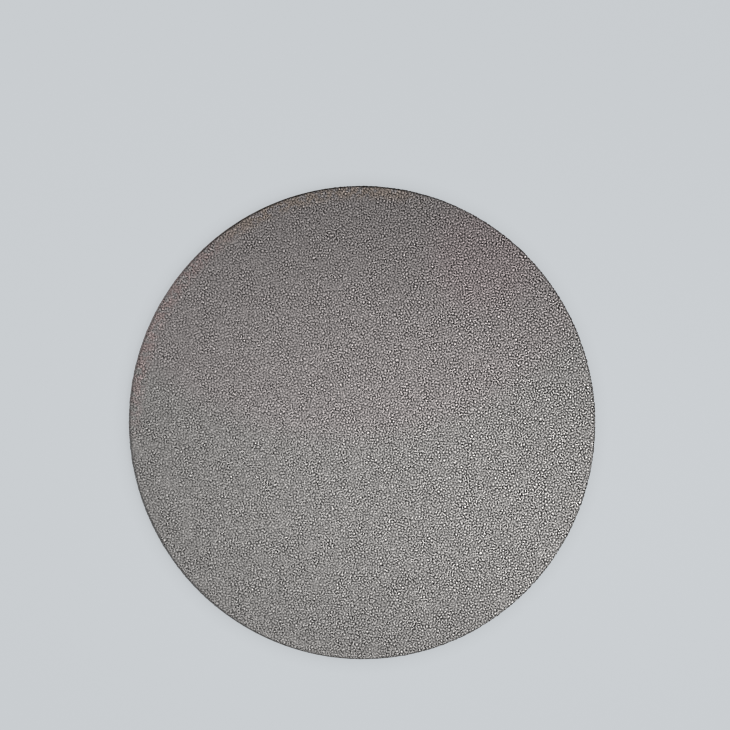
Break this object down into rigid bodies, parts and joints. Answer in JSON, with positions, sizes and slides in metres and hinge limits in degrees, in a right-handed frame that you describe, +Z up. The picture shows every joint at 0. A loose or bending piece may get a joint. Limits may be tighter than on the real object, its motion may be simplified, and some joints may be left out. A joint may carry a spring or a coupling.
{
  "type": "sintered metal filter disc",
  "caption": "Flat round porous metal disc, pressed and sintered from titanium powder, that filters or spreads a gas or a liquid passed through it from face to face.",
  "frame": {"origin": "middle of the disc's underside, on the surface that it lies on", "axes": "+Z up along the disc's axis, out of the face that the picture shows"},
  "size_m": [0.1, 0.1, 0.002],
  "materials": {
    "sintered_titanium": "matte"
  },
  "bodies": {
    "root": {"porous_disc": "sintered_titanium"}
  },
  "joints": []
}
